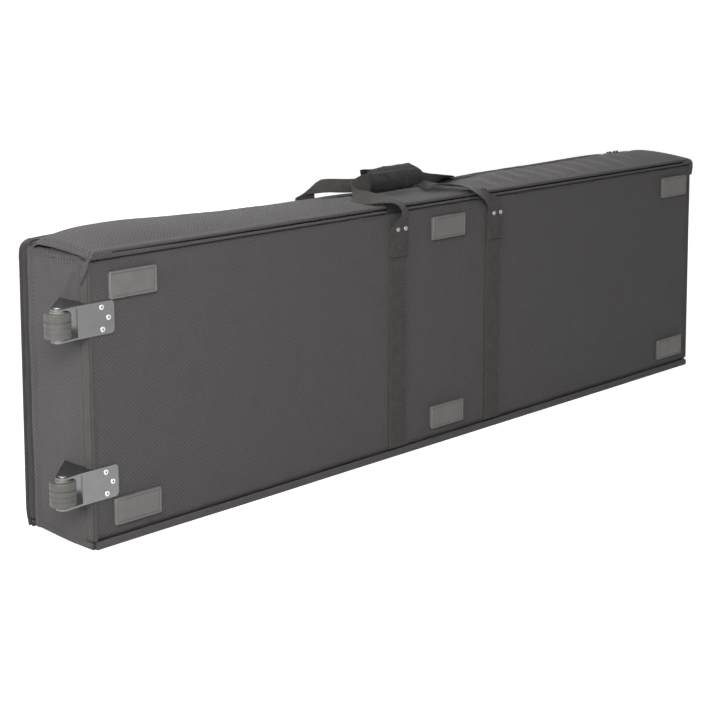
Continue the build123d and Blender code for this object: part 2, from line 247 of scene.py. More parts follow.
def maths(tree, operation, *terms):
    """A Math node. Each term is a number or the output of another node."""
    numbers = {place: term for place, term in enumerate(terms) if isinstance(term, (int, float))}
    outputs = {place: term for place, term in enumerate(terms) if place not in numbers}
    return add(tree, "ShaderNodeMath", {"operation": operation, **numbers}, outputs).outputs[0]


def noise(tree, place, scale, detail, roughness=0.5):
    """Noise with scale waves to the metre."""
    return add(tree, "ShaderNodeTexNoise", {"Scale": scale, "Detail": detail, "Roughness": roughness},
               {"Vector": place}).outputs["Fac"]


def mixed(tree, share, first, second):
    """From one hex colour to another as share goes from 0 to 1."""
    return add(tree, "ShaderNodeMix", {"data_type": "RGBA", 6: linear(first), 7: linear(second)},
               {0: share}).outputs[2]


def bumped(tree, shader, height, strength, depth):
    """Raises the finish where height is 1, depth mm at most."""
    bump = add(tree, "ShaderNodeBump", {"Strength": strength, "Distance": depth * MM},
               {"Height": height}).outputs[0]
    tree.links.new(bump, shader.inputs["Normal"])


# %% [markdown]
# ## Coated woven polyester
# The outer cloth is a heavy plain weave of 600 denier polyester with a coating behind. To the eye
# it is a matt dark grey with a faint grain of lighter yarn ends. Two bands of sine waves, swapped
# in a chequer, raise the yarns over and under each other. A second, coarser diamond stands for
# the grain that shows from a few steps away; the real one is finer, but it would not show. A mesh
# can carry a value along the crests of its folds, and the yarn there is painted paler: a painted
# highlight for the light those crests catch. A mesh without that value has none.

# %% Woven cloth
WAVE = 2 * math.pi / 20      # the Wave node repeats once per unit at this scale
FIBRE_SHINE = 0.28           # round yarns scatter most of what a flat sheet would mirror
CREST_HIGHLIGHT = 0.9                    # how much paler the yarn is painted on a fold's crest, as a painted highlight


def crossed_waves(tree, place):
    """Bands of sine waves, along and across."""
    return [add(tree, "ShaderNodeTexWave", {"bands_direction": way, "Scale": WAVE},
                {"Vector": place}).outputs["Fac"] for way in "XY"]


def woven(name, warp, weft, gap, yarn, grain, roughness=0.82, depth=0.35, sheen=0.12):
    """Plain weave: three hex colours, then the width of a yarn and of the coarse grain in mm."""
    made, tree, shader = finish(name, roughness, 1.5, 0.0, sheen, FIBRE_SHINE)
    cloth = add(tree, "ShaderNodeUVMap", {"uv_map": "flat"}).outputs[0]
    yarns = add(tree, "ShaderNodeVectorMath", {"operation": "SCALE", "Scale": 1 / (yarn * MM)},
                {0: cloth}).outputs[0]
    over = add(tree, "ShaderNodeTexChecker", {"Scale": 1.0}, {"Vector": yarns}).outputs["Fac"]
    along, across = crossed_waves(tree, yarns)
    height = add(tree, "ShaderNodeMix", {}, {0: over, 2: along, 3: across}).outputs[0]
    dyed = mixed(tree, over, warp, weft)
    lit = add(tree, "ShaderNodeMapRange", {"From Min": 0.0, "From Max": 0.45}, {0: height}).outputs[0]
    dyed = add(tree, "ShaderNodeMix", {"data_type": "RGBA", 6: linear(gap)}, {0: lit, 7: dyed}).outputs[2]
    turned = add(tree, "ShaderNodeMapping",
                 {"Rotation": (0, 0, math.radians(45)), "Scale": (1 / (grain * MM),) * 3},
                 {"Vector": cloth}).outputs[0]
    spots = maths(tree, "MULTIPLY", *crossed_waves(tree, turned))
    drift = noise(tree, cloth, 28.0, 5.0, 0.7)
    specks = noise(tree, cloth, 420.0, 2.0)
    tone = maths(tree, "MULTIPLY_ADD", spots, 0.5, 0.725)
    tone = maths(tree, "MULTIPLY_ADD", drift, 0.22, tone)
    tone = maths(tree, "MULTIPLY_ADD", specks, 0.7, tone)
    tone = maths(tree, "SUBTRACT", tone, 0.41)
    # Painted highlight: paler yarn where a mesh marks the crests of its folds.
    crest_highlight = add(tree, "ShaderNodeAttribute", {"attribute_name": "crest_highlight"}).outputs["Fac"]
    tone = maths(tree, "MULTIPLY", tone, maths(tree, "MULTIPLY_ADD", crest_highlight, CREST_HIGHLIGHT, 1.0))
    colour = add(tree, "ShaderNodeVectorMath", {"operation": "SCALE"}, {0: dyed, "Scale": tone}).outputs[0]
    tree.links.new(colour, shader.inputs["Base Color"])
    bumped(tree, shader, maths(tree, "MULTIPLY_ADD", spots, 0.6, height), 0.6, depth)
    return made


polyester = woven("coated_woven_polyester", "#5e5a5a", "#555253", "#353334", 1.1, 4.1)
# The grip's cloth is a darker dye than the shell, and is darkened further as painted shade for its shaded lower
# face.
grip_cloth = woven("grip_woven_polyester", "#211e1d", "#1d1a19", "#141211", 1.1, 2.4, 0.8, 0.35, 0.1)
lining_cloth = woven("brushed_nylon_lining", "#5c5c60", "#565659", "#454548", 0.7, 2.2, 0.9, 0.15, 0.3)
print("woven finishes ready")

# %% [markdown]
# ## Webbing and binding tape
# Polypropylene webbing and grosgrain binding are woven with fat ribs across their length. A single
# wave along the strap gives the ribs, and a finer one across it gives the warp ends. The raised
# ribs and ends take a paler second colour in slow patches.

# %% Ribbed tape
def ribbed(name, colour, wear_and_highlight, rib, depth, roughness=0.78):
    """Ribs rib mm apart, and warp ends a little over 1 mm apart."""
    made, tree, shader = finish(name, roughness, 1.49, 0.0, 0.1, FIBRE_SHINE)
    cloth = add(tree, "ShaderNodeUVMap", {"uv_map": "flat"}).outputs[0]
    ribs = add(tree, "ShaderNodeTexWave", {"bands_direction": "Y", "Scale": WAVE / (rib * MM),
                                           "Distortion": 0.4, "Detail": 1.0}, {"Vector": cloth}).outputs["Fac"]
    ends = add(tree, "ShaderNodeTexWave", {"bands_direction": "X", "Scale": WAVE / (1.3 * MM)},
               {"Vector": cloth}).outputs["Fac"]
    drift = noise(tree, cloth, 55.0, 4.0)
    height = maths(tree, "MULTIPLY_ADD", ends, 0.35, ribs)
    dyed = mixed(tree, maths(tree, "MULTIPLY", height, drift), colour, wear_and_highlight)
    tree.links.new(dyed, shader.inputs["Base Color"])
    bumped(tree, shader, height, 0.7, depth)
    return made


webbing = ribbed("polypropylene_webbing", "#2f2c2b", "#54504d", 3.4, 0.8)
binding = ribbed("grosgrain_binding", "#413e3d", "#5e5a58", 1.4, 0.3)
lid_edge = ribbed("dark_grosgrain", "#282625", "#3d3a38", 1.4, 0.35)
# Near-black tape: painted shade for the shadow under each handle strap's arch.
painted_shade_tape = ribbed("painted_shade_grosgrain", "#121111", "#1b1a19", 1.4, 0.35)
zip_tape = ribbed("knitted_zip_tape", "#2c2a2b", "#464344", 1.2, 0.2)
thread, tree, shader = finish("bonded_nylon_thread", 0.6, 1.53)
fibre = add(tree, "ShaderNodeTexNoise", {"Scale": 900.0, "Detail": 2.0}).outputs["Fac"]
tree.links.new(mixed(tree, fibre, "#3a3735", "#57524f"), shader.inputs["Base Color"])
print("tapes and thread ready")

# %% [markdown]
# ## Moulded rubber, nylon and metal
# The pads are pressed rubber with a leathery skin, the wheels are turned polyurethane, and the
# brackets are mild steel, zinc plated and passivated, which leaves them a dull grey. The blind
# rivets in the brackets are bright aluminium; the strap rivets and axles are nickel plate. All of
# them are hard, so noise in the object's own space gives their grain and wear.

# %% Hard finishes
def hard(name, colour, wear_and_highlight, grain, depth, roughness, ior=1.5, metallic=0.0, streak=(1, 1, 1), spread=0.12):
    """Pores grain mm wide over a slow wear from colour to worn."""
    made, tree, shader = finish(name, roughness, ior, metallic)
    place = add(tree, "ShaderNodeTexCoord").outputs["Object"]
    stretched = add(tree, "ShaderNodeMapping", {"Scale": streak}, {"Vector": place}).outputs[0]
    pores = noise(tree, stretched, 1 / (grain * MM), 4.0, 0.6)
    wear = noise(tree, place, 45.0, 6.0, 0.65)
    share = add(tree, "ShaderNodeMapRange", {"From Min": 0.35, "From Max": 0.75}, {0: wear}).outputs[0]
    tree.links.new(mixed(tree, share, colour, wear_and_highlight), shader.inputs["Base Color"])
    rough = add(tree, "ShaderNodeMapRange", {"To Min": roughness - spread, "To Max": roughness + spread},
                {0: pores}).outputs[0]
    tree.links.new(rough, shader.inputs["Roughness"])
    bumped(tree, shader, pores, 0.5, depth)
    return made


pad_rubber = hard("pressed_rubber", "#656361", "#6f6d6b", 0.8, 0.12, 0.5)
wheel_rubber = hard("turned_polyurethane", "#4d4c49", "#585754", 1.2, 0.1, 0.5, 1.5, 0.0, (1, 1, 8))
wheel_nylon = hard("moulded_nylon", "#8a8b82", "#76786f", 0.6, 0.05, 0.4, 1.53)
zinc_steel = hard("passivated_zinc_steel", "#757575", "#7e7e7e", 0.5, 0.03, 0.34, 1.5, 1.0, (1, 1, 1), 0.06)
nickel = hard("nickel_plate", "#9c9a98", "#8e8c89", 0.3, 0.02, 0.24, 1.5, 1.0, (1, 1, 1), 0.08)
aluminium = hard("bright_aluminium", "#dedddb", "#cfcdca", 0.3, 0.02, 0.3, 1.5, 1.0, (1, 1, 1), 0.08)
zip_metal = hard("black_zinc_alloy", "#3b3a3a", "#4c4a49", 0.3, 0.03, 0.38, 1.5, 0.8)
coil_nylon = hard("nylon_zip_coil", "#262526", "#343233", 0.2, 0.02, 0.42, 1.53)
print("hard finishes ready")

# %% [markdown]
# ## The hardware that the imported model already has right
# Brackets, wheels, axles, washers, rivets, sliders and pulls keep their imported shape. A narrow
# bevel breaks their edges, as tumbling and moulding do, and each takes its finish. The mandrel left
# in the middle of each blind rivet is added as a small domed plug; its dark finish also paints in
# the shade of the rivet's hole.

# %% Hardware
hardware = [
    (("wheel_bracket_lower", "wheel_bracket_upper"), zinc_steel, 0.5),
    (("wheel_tyre_lower", "wheel_tyre_upper"), wheel_rubber, 0.25),
    (("wheel_hub_lower", "wheel_hub_upper"), wheel_nylon, 0.4),
    (("bracket_rivets",), aluminium, 0.2),
    (("wheel_axles", "wheel_washers", "tray_strap_rivets", "lid_strap_rivets"), nickel, 0.2),
    (("zip_slider_left", "zip_slider_right", "zip_pull_left", "zip_pull_right"), zip_metal, 0.35),
]
CREASE_ANGLE = math.radians(35)
for names, metal, edge in hardware:
    for name in names:
        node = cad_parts[name]
        node.data.materials.clear()
        node.data.materials.append(metal)
        node.data.shade_smooth()
        node.data.set_sharp_from_angle(angle=CREASE_ANGLE)
        bevel = node.modifiers.new("broken_edge", "BEVEL")
        bevel.width, bevel.segments, bevel.limit_method = edge * MM, 2, "ANGLE"
        bevel.angle_limit = CREASE_ANGLE
        bevel.harden_normals = True
rivet_places = [(wheel_end + dx, middle + dz) for middle in WHEEL_HEIGHTS
                for dx, dz in ((18.0, 14.5), (28.8, 0.0), (19.0, -14.5))]
plug_section = ((1.28, 0.1), (1.2, 0.55), (0.9, 0.7), (0.2, 0.75))      # radius and rise
angle = np.linspace(0, 2 * np.pi, 14, endpoint=False)
# The plugs' dark finish is partly painted shade, for the shade inside each rivet's hole.
for number, (x0, z0) in enumerate(rivet_places):
    rings = np.stack([np.stack([x0 + radius * np.cos(angle), np.full(14, front_y - 2.5 - rise),
                                z0 + radius * np.sin(angle)], -1) for radius, rise in plug_section])
    mandrel = surface(f"rivet_mandrel_{number}", rings, rings[..., ::2], closed=True, caps=True)
    dress(mandrel, "tray", zip_metal)
print("hardware dressed:", sum(len(names) for names, _, _ in hardware), "nodes")

# %% [markdown]
# ## The lie of the top
# The padded top is not flat. It crowns between its seams, dips where the handle pulls, and swells
# near both ends. One line is the lid's upper edge, which the zip follows where it sags, and another
# is the highest line of the cloth.

# %% Top line
lid_crown = through([(x, 0, z) for x, z in (
    (-700, 393.5), (-669, 394.6), (-636, 395.6), (-569, 395.8), (-480, 394.2), (-387, 391.6),
    (-288, 390.6), (-216, 390.8), (-72, 390.8), (10, 387.5), (163, 392.5), (252, 395.4), (363, 396.4),
    (481, 397.9), (560, 398.6), (620, 397.4), (660, 396.2), (700, 394.0))], 8)
# The cloth's highest line, near y = 25, crowns above the zip except under the handle.
puffed = through([(x, 0, z) for x, z in (
    (-706, 396.5), (-669, 403.8), (-604, 407.6), (-517, 405.6), (-427, 403), (-300, 401.6), (-200, 400),
    (-165, 397.2), (-120, 394.6), (-60, 393.5), (0, 392.4), (50, 392.6), (100, 393.4), (140, 395),
    (190, 397.0), (305, 397.8), (420, 399.2), (530, 401.0), (595, 403.6), (645, 402.8), (682, 399.4),
    (706, 395))], 8)


def crown_at(x):
    """Height of the lid's upper edge."""
    return np.interp(x, lid_crown[:, 0], lid_crown[:, 2])


def zip_lift(x):
    """How far the zip sags below its straight line: 0 or a little less."""
    return np.clip(crown_at(x) - 0.6 - top_z, -3.2, 0.0)


def hold_down(u, v, blocks, reach=36.0):
    """0 on the sewn or riveted hardware and 1 well away from it."""
    free = np.ones_like(u)
    for u0, u1, v0, v1 in blocks:
        du = np.maximum(np.maximum(u0 - u, u - u1), 0)
        dv = np.maximum(np.maximum(v0 - v, v - v1), 0)
        free = free * ease(np.hypot(du, dv) / reach)
    return free


# %% [markdown]
# ## The outer panels
# Each wall is cut as its own panel and sewn to the next, so each is a grid with a crown, its edges
# turning in where the seam pulls. The floor panel is pressed flat under the pads, straps and
# brackets and puffs out a little between them.

# %% Floor panel
pads = [f"skid_pad_{c}_{r}" for c in ("wheel_end", "middle", "far_end") for r in ("lower", "upper")]
fixed = pads + ["floor_webbing_left", "floor_webbing_right", "wheel_bracket_lower", "wheel_bracket_upper"]
blocks = [(low[0], high[0], low[2], high[2]) for low, high in map(corners, fixed)]


def grid(u_range, v_range, step):
    """Two arrays that cover a rectangle with points about step mm apart."""
    nu = int((u_range[1] - u_range[0]) / step) + 1
    nv = int((v_range[1] - v_range[0]) / step) + 1
    return np.meshgrid(np.linspace(*u_range, nu), np.linspace(*v_range, nv), indexing="ij")


LOW_HEM, HIGH_HEM = 12, 381.5        # the cloth dives into its seams here
x, z = grid((wheel_end + 1, far_end - 1), (9.0, 380.5), 4.0)
free = hold_down(x, z, blocks)
edge = np.minimum.reduce([x - wheel_end, far_end - x, z - LOW_HEM, HIGH_HEM - z])
puff = free * (2.4 * ease(edge / 60) + 0.5 * uneven(x, z, 230, 3) + 0.25 * uneven(x, z, 70, 4))
rim = (2.4 * (1 - ease(edge / 7)) + 2.2 * (1 - ease((HIGH_HEM - z) / 5))
       + 2.0 * (1 - ease((z - LOW_HEM) / 6)))
ripple = 0.5 * np.sin(x / 0.9) * (1 - ease((HIGH_HEM - z) / 7))
y = front_y - puff + rim + ripple
floor_panel = cloth_panel("floor_panel_cloth", (x, y, z), (x, z), flip=True)
dress(floor_panel, "tray", polyester, ("floor_panel_cover", "floor_panel_board"), COVER)
print("floor panel", x.shape)

# %% [markdown]
# ## Top panel
# The top starts under the front roll, turns over a soft edge and crowns to the zip. At both ends
# it laps over the end wall with a turned lip. A long shallow fold runs towards the handle, and ten
# short ones cross the padding beyond it, where packing and carrying have creased the foam. Adding
# each fold to the height keeps them real geometry, and the same list marks their crests with a
# painted highlight, a paler colour for the light that the crests catch.

# %% Top panel
TURN = 0.16                  # share of the panel's width that turns over the front edge
FLAT_Z = 392.6               # where the turn ends and the flat of the top begins
across = np.concatenate([np.linspace(0, 0.8, 36), np.linspace(0.81, 1, 16)])
x, s = np.meshgrid(np.linspace(wheel_end - 3.2, far_end + 1.5, 470), across, indexing="ij")
flat_s = np.clip((s - TURN) / (1 - TURN), 0, 1)
y_lip = front_y - 1.2 * np.sin(np.pi * np.clip(s / 0.12, 0, 1))
y = np.where(s < TURN, y_lip + 9.5 * ease((s - 0.06) / 0.10) ** 1.5,
             front_y + 9.5 + flat_s * (zip_y - 9.0 - front_y - 9.5))
end = np.minimum(x - wheel_end, far_end - x)
crown = np.where(flat_s < 0.82, 1 - np.abs(1 - flat_s / 0.82) ** 2.2,
                 1 - (np.maximum(flat_s - 0.82, 0) / 0.18) ** 2.4)
crown = crown * (np.interp(x, puffed[:, 0], puffed[:, 2]) - 392.0)
crown -= 3.0 * np.exp(-((x - 616) / 30) ** 2) * ease((y - 5) / 25)
z = (386.2 + 6.4 * np.sin(np.clip(s / TURN, 0, 1) * np.pi / 2)
     + flat_s * (top_z + zip_lift(x) - FLAT_Z) + crown)
z += ease(s / TURN) * 0.7 * uneven(x, y, 170, 8) * ease(end / 30)
folds = [((162, 20), (142, -70), 1.6), ((207, 36), (187, -76), 1.9), ((250, 46), (230, -68), 2.2),
         ((292, 48), (276, -80), 2.0), ((338, 48), (314, -72), 2.3), ((382, 48), (363, -80), 2.1),
         ((430, 48), (408, -78), 2.3), ((474, 48), (456, -68), 2.0), ((523, 48), (501, -76), 1.9),
         ((568, 40), (551, -58), 1.5)]
# Painted highlight: each short fold's crest gets a value that paints the yarn paler there.
crest_highlight = np.zeros_like(x)
for start, stop, height in folds:
    z += crease(x, y, start, stop, 9.0, height * 1.2)
    crest_highlight += crease(x, y, start, stop, 8.0, height / 2.2)
z += crease(x, y, (40, -35), (330, 30), 16, 1.6) - crease(x, y, (-250, -30), (-110, 10), 24, 1.8)
z -= crease(x, y, (-20, -58), (60, 10), 22, 1.6)
z -= 5.5 * (1 - ease((end + 1.5) / 9.0)) ** 1.5
gather = 0.25 * np.sin(x / 1.9) * (1 - ease(s / 0.1))
top_panel = cloth_panel("top_wall_cloth", (x, y + gather, z), (x, s * 118), flip=True)
# The crest values go onto the mesh so that the cloth's finish paints a highlight there.
wear_and_highlight = top_panel.data.attributes.new("crest_highlight", "FLOAT", "POINT")
wear_and_highlight.data.foreach_set("value", crest_highlight[:, ::-1].ravel())
dress(top_panel, "tray", polyester, ("top_wall_cover", "top_wall_board"), COVER)
print("top panel crowns to", round(float(z.max()), 1))

# %% [markdown]
# ## End walls
# Both ends hang from the lip of the top panel, with fine gathers under it, and soft folds run from
# the upper corner towards the bracket. The low rear corner is rounded, where the case has stood,
# and a narrow flap of the same cloth lies over the zip where it turns down the end.

# %% End walls
def across_share(y):
    """0 at the front edge of the case and 1 at the back."""
    return (y - front_y) / (back_y - front_y)


def corner_lift(t):
    """The low rear corner is worn round and lifts off the floor."""
    return 9.0 * t ** 2.2


END_TOP = 387.5              # the end walls stop here, under the lip of the top


def end_wall(name, x0, out, seed):
    """One end of the case at x0. out is -1 for the wheel end and 1 for the far end."""
    y, z = np.meshgrid(np.linspace(front_y + 0.8, zip_y + 2.8, 104), np.linspace(0.6, 387.0, 130),
                       indexing="ij")
    edge = np.minimum(y - front_y - 12.5, END_TOP - z)
    z = z + corner_lift(across_share(y)) * (1 - ease(z / 60))
    swell = 2.0 * ease(edge / 35) + 0.9 * uneven(y, z, 110, seed) * ease(edge / 20)
    if out < 0:
        brackets = [(front_y, front_y + 60, middle - 22, middle + 22) for middle in WHEEL_HEIGHTS]
        swell = swell * hold_down(y, z, brackets, 30)
        swell += crease(y, z, (-62, 384), (-22, 318), 4.5, -1.6) + crease(y, z, (-50, 378), (-12, 322), 5, 1.4)
        swell += crease(y, z, (20, 386), (-8, 330), 7, -0.9)
    gathers = ((1.5 + 0.6 * uneven(y, z, 30, 9)) * np.sin(y / 0.88)
               * (1 - ease((385 - z) / 19)) * ease((388 - z) / 3))
    rim = 2.4 * (1 - ease(edge / 6)) + 2.0 * (1 - ease((END_TOP - z) / 5))
    zip_flap = 2.6 * ease((y - zip_y + 9) / 7)
    x = x0 + out * (np.maximum(swell, 0.6 * zip_flap) + gathers - rim + zip_flap * 0.75)
    return cloth_panel(name, (x, y, z), (y, z), flip=out > 0)


for end_name, x0, out, seed in (("wheel_end", wheel_end, -1, 11), ("far_end", far_end, 1, 12)):
    wall = end_wall(f"{end_name}_cloth", x0, out, seed)
    dress(wall, "tray", polyester, (f"{end_name}_cover", f"{end_name}_board"), COVER)
x, y = grid((wheel_end + 0.5, far_end - 0.5), (front_y + 0.5, back_y - 2.0), 5.0)
t = across_share(y)
lift = corner_lift(t) * (1 - ease((x - wheel_end) / 110)) + 3.0 * t ** 2 * (1 - ease((far_end - x) / 60))
rim = 1.0 * (1 - ease((y - front_y) / 8))
sag = 0.25 * (1 + uneven(x, y, 120, 15)) * ease(np.minimum(x - wheel_end, far_end - x) / 40)
base = cloth_panel("base_wall_cloth", (x, y, 0.3 + lift + rim + sag), (x, y))
dress(base, "tray", polyester, ("base_wall_cover", "base_wall_board"), 1.2)
print("end walls and base sewn in")

# %% [markdown]
# ## Lid
# The lid is one big panel with a shallow wall on its three zipped sides. It bows out a little, most
# at the wheel end near the base, and is held flat where the rear straps are riveted. The strip
# along the top and the cloth hinge along the base are of the same cloth; the end walls are tape.

# %% Lid
def lid_face(x, z):
    """How far back the lid's face stands."""
    bow = 2.2 * ease((x - wheel_end) / 90) * ease((far_end - x) / 90)
    bow = bow * np.sin(np.pi * np.clip(z / BODY_HEIGHT, 0, 1)) ** 0.7
    wheel_bow = (5.5 - 4.5 * z / BODY_HEIGHT) * (1 - ease((x - wheel_end) / 260))
    return back_y + bow + wheel_bow * ease(z / 25)


x, z = grid((wheel_end + 1.5, far_end - 1.5), (lid_low, 387.5), 4.5)
straps = [(side * LID_STRAP - STRAP_HALF, side * LID_STRAP + STRAP_HALF, 305, 400) for side in (-1, 1)]
z = z + (crown_at(x) - BODY_HEIGHT) * ease((z - 340) / 50) - 1.5 * ease((z - 340) / 50)
edge = np.minimum.reduce([x - wheel_end, far_end - x, crown_at(x) - 4 - z])
y = lid_face(x, z) - 2.4 * (1 - ease(edge / 8))
held = 1 - hold_down(x, z, straps, 30)
y = y - held * np.maximum(y - back_y, 0) + (1 - held) * 0.5 * uneven(x, z, 190, 21)
lid_panel = cloth_panel("lid_cloth", (x, y, z), (x, z))
dress(lid_panel, "lid", polyester, ("lid_cover", "lid_board"), COVER)

x, s = np.meshgrid(np.linspace(wheel_end - 1, far_end + 1, 330), np.linspace(0, 1, 14), indexing="ij")
y = zip_y + 9.0 + s * (back_y - zip_y - 10.2)
end = np.minimum(x - wheel_end, far_end - x)
z = (top_z + zip_lift(x)) * (1 - s) + (crown_at(x) - 2.0) * s + 2.2 * np.sin(np.pi * s)
z = z - 5.0 * (1 - ease((end + 1) / 9.0)) ** 1.5 + 0.35 * uneven(x, y, 60, 23)
lid_strip = cloth_panel("lid_top_wall_cloth", (x, y, z), (x, y), flip=True)
dress(lid_strip, "lid", polyester, ("lid_top_wall",), COVER)

for end_name, x0, out in (("wheel_end", wheel_end, -1), ("far_end", far_end, 1)):
    z, s = np.meshgrid(np.linspace(lid_low, 388, 96), np.linspace(0, 1, 10), indexing="ij")
    y = zip_y + 4.0 + s * (lid_face(np.full_like(z, x0), z) - zip_y - 5.0)
    x = x0 + out * (1.4 * np.sin(np.pi * s) + 0.5 * uneven(z, y, 50, 25))
    wall = cloth_panel(f"lid_{end_name}_wall_cloth", (x, y, z), (y, z), flip=out < 0)
    dress(wall, "lid", lid_edge, (f"lid_{end_name}_wall",), COVER)

x, s = np.meshgrid(np.linspace(wheel_end + 1, far_end - 1, 300), np.linspace(0, 1, 8), indexing="ij")
z = 0.8 + s * (lid_low + 1.0)
y = back_y - 2.2 * (1 - s) ** 2 + (lid_face(x, lid_low) - back_y) * s + 0.6 * np.sin(np.pi * s)
hinge = cloth_panel("cloth_hinge_strip", (x, y, z), (x, z))
dress(hinge, "lid", polyester, ("cloth_hinge",), 1.2)
print("lid face bows to y", round(float(lid_face(-690.0, 150.0)), 1))

# %% [markdown]
# ## Bindings and piping
# The seams are covered by grosgrain rolled over a cord or laid flat. A roll is a tube that follows
# the seam with small gathers; a flat tape is a ribbon. One function makes both: it carries a
# rounded section along a line of stations, each with its half width. The base roll turns up the
# wheel end with the worn corner, and a small roll of cloth closes each upper corner.

# %% Ribbon maker
def ribbon(name, stations, thick, step=2.5, square=0.3, around=20, pucker=0.0, turned=0.85):
    """Webbing through stations x, y, z and half-width vector, thick mm through."""
    line = through(stations, step)
    centre, half = line[:, :3], line[:, 3:6]
    ahead = heading(centre)
    half = half - (half * ahead).sum(1)[:, None] * ahead * turned
    up = np.cross(ahead, half)
    up /= np.linalg.norm(up, axis=1)[:, None]
    angle = np.linspace(0, 2 * np.pi, around, endpoint=False)
    side = np.sign(np.cos(angle)) * np.abs(np.cos(angle)) ** square
    rise = np.sign(np.sin(angle)) * np.abs(np.sin(angle)) ** 0.6
    walk = walked(centre)
    swell = 1 + pucker * np.sin(walk / 1.1)[:, None] * (0.6 + 0.4 * uneven(walk, walk, 40, 2))[:, None]
    points = (centre[:, None] + half[:, None] * side[None, :, None]
              + up[:, None] * (rise[None, :] * thick / 2 * swell)[..., None])
    width = np.linalg.norm(half, axis=1)
    flat = np.stack([width[:, None] * side, np.tile(walk[:, None], (1, around))], -1)
    return surface(name, points, flat, closed=True, caps=True)


def straight(a, b, half, wander=0.0, seed=1, pieces=24):
    """Stations on a line from a to b with a slight wander."""
    a, b = np.array(a, float), np.array(b, float)
    rows = []
    for i in range(pieces + 1):
        s = i / pieces
        p = a + (b - a) * s
        shift = wander * uneven(s * 700.0, 0.0, 160, seed)
        rows.append([p[0], p[1] - abs(shift) * 0.2, p[2] + shift * (abs(b[0] - a[0]) > 300), *half])
    return rows


low, high = corners("top_binding")
mid_z = (low[2] + high[2]) / 2
top_rows = []
for x in np.linspace(wheel_end + 14, far_end - 1, 60):
    fat = 1.5 * math.exp(-(x - wheel_end) / 160)
    top_rows.append((x, front_y - 0.9 - 0.6 * fat + 0.1 * uneven(x, 0.0, 60, 5), mid_z + 0.2 + 0.9 * fat,
                     0, 0, 1.8 + fat))
base_rows = straight((wheel_end + 2, front_y - 0.3, 5.7), (far_end - 1, front_y - 0.3, 5.7),
                     (0, 0, 5.4), 0.3, 6)
side_rows = straight((wheel_end - 0.5, front_y + 7.6, 12), (wheel_end - 0.5, front_y + 7.6, 380), (0, 6.6, 0))
turn_rows = straight((wheel_end + 1.6, front_y - 0.2, 12), (wheel_end + 1.6, front_y - 0.2, 380), (2.3, 0, 0))
end_rows = [(wheel_end - 0.9, front_y + t * (back_y - front_y), 5.2 + corner_lift(t), 0, 0, 4.6)
            for t in np.linspace(0.02, 0.86, 26)]
far_rows = straight((far_end - 3, front_y - 0.1, 15), (far_end - 3, front_y - 0.1, 379), (3.4, 0, 0))
wheel_corner = [
    (-664, -71.2, 385.6, 0.3, 0, 3.0), (-676, -71.9, 386.3, 0.5, 0, 3.8), (-687, -72.8, 387.0, 0.5, 0, 5.0),
    (-696, -73.6, 386.0, 2.0, -1.2, 6.0), (-702.4, -72.6, 380.5, 4.0, -3.2, 4.6),
    (-705.0, -69.6, 372, 2.6, -4.4, 2.2), (-705.2, -65.6, 363.5, 1.0, -4.2, 1.0),
    (-704.4, -62.0, 356, 0.3, -2.6, 0.6), (-702.8, -59.2, 349.5, 0, -1.0, 0.2)]
far_corner = [
    (668, -71.0, 384.2, 0, 0, 2.0), (682, -71.8, 385.2, 0, 0, 3.2), (694, -71.8, 385.6, 1, 0, 4.6),
    (701.5, -70.5, 380.5, 4.4, 0, 3), (702.6, -70.0, 371, 4.2, 0, 0.5), (701.0, -69.8, 361, 3.0, 0, 0)]
# Name, path, then thickness, step, squareness, points round and gathers; finish and CAD node.
front_seams = [
    ("top_front_roll", top_rows, (3.8, 2.2, 0.9, 14, 0.08), polyester, ("top_binding",)),
    ("base_front_roll", base_rows, (5.0, 3.0, 0.85, 16, 0.05), binding, ("base_binding",)),
    ("wheel_end_tape", side_rows, (4.6, 3.0, 0.7), binding, ("wheel_end_binding",)),
    ("wheel_end_tape_turn", turn_rows, (2.0, 3.0, 0.5), binding, ()),
    ("wheel_end_base_roll", end_rows, (4.6, 2.5, 0.85, 16, 0.05), binding, ()),
    ("far_end_tape", far_rows, (2.2, 3.0, 0.35), binding, ("far_end_binding",)),
    ("wheel_corner_fold", wheel_corner, (4.6, 1.4, 0.6, 16, 0.09), polyester, ()),
    ("far_corner_fold", far_corner, (5.6, 1.6, 0.7, 14, 0.07), binding, ())]
for name, rows, section, cloth, nodes in front_seams:
    dress(ribbon(name, rows, *section), "tray", cloth, nodes)
print("front seams bound:", len(front_seams))

# %% [markdown]
# ## Zip
# A coil zip runs up both ends and along the top. Each half is a strip of tape with a row of nylon
# loops along its edge, and the loops of the two halves mesh. Each loop is a small bent bar, set out
# along the seam by a loop in the script at the coil's real pitch of about 2.5 mm. The function that
# joins the bars into one object makes the stitches of the other seams as well.

# %% Zip
CORNER_R = 4.0               # the zip turns each upper corner on this radius


def zip_line(offset, lift, step):
    """The path of the zip, out of the surface by lift, offset in Y from the zip line."""
    y, r = zip_y + offset, CORNER_R + lift
    turn = np.linspace(0.2, math.pi / 2, 5)
    up = np.linspace(lid_low + 1, top_z - 12, 30)
    rows = [(wheel_end - lift, y, z) for z in up]
    rows += [(wheel_end + CORNER_R - r * math.cos(a), y,
              top_z - CORNER_R + zip_lift(wheel_end) + r * math.sin(a)) for a in turn]
    rows += [(x, y, top_z + lift + zip_lift(x)) for x in np.linspace(wheel_end + 12, far_end - 12, 90)]
    rows += [(far_end - CORNER_R + r * math.cos(a), y,
              top_z - CORNER_R + zip_lift(far_end) + r * math.sin(a)) for a in turn[::-1]]
    rows += [(far_end + lift, y, z) for z in up[::-1]]
    return through(rows, step)


